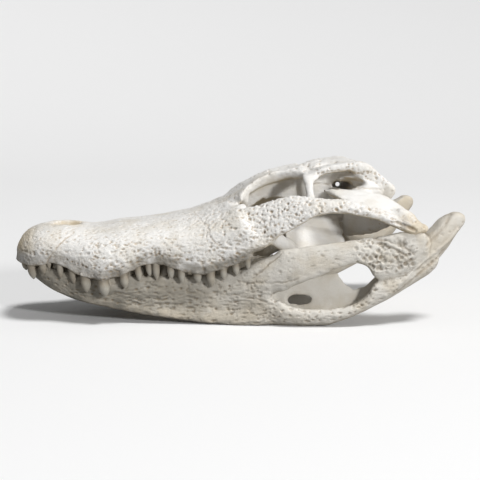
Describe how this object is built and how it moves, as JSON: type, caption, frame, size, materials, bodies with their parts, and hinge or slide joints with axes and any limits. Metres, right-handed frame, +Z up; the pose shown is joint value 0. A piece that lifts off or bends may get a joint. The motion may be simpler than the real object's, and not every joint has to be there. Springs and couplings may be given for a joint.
{
  "type": "alligator skull",
  "caption": "Skull of an adult alligator with its lower jaw, the mouth all but closed, at life size, with every tooth in place.",
  "frame": {"origin": "middle of the bounding box, at the level the lower jaw rests on", "axes": "-X towards the tip of the snout, +Z up, -Y towards the animal's left side"},
  "size_m": [0.4214, 0.196, 0.151],
  "materials": {
    "upper_bone": "dry matt cream bone",
    "lower_bone": "dry matt bone, a little browner"
  },
  "bodies": {
    "root": {"nasals": "upper_bone", "frontal": "upper_bone", "skull_table": "upper_bone", "braincase": "upper_bone", "palatines": "upper_bone", "pterygoids": "upper_bone", "premaxilla_left": "upper_bone", "premaxilla_right": "upper_bone", "maxilla_left": "upper_bone", "maxilla_right": "upper_bone", "jugal_left": "upper_bone", "jugal_right": "upper_bone", "quadratojugal_left": "upper_bone", "quadratojugal_right": "upper_bone", "quadrate_left": "upper_bone", "quadrate_right": "upper_bone", "postorbital_bar_left": "upper_bone", "postorbital_bar_right": "upper_bone", "ectopterygoid_left": "upper_bone", "ectopterygoid_right": "upper_bone", "dentary_left": "lower_bone", "dentary_right": "lower_bone", "angular_left": "lower_bone", "angular_right": "lower_bone", "surangular_left": "lower_bone", "surangular_right": "lower_bone", "articular_left": "lower_bone", "articular_right": "lower_bone", "splenial_left": "lower_bone", "splenial_right": "lower_bone"}
  },
  "joints": []
}
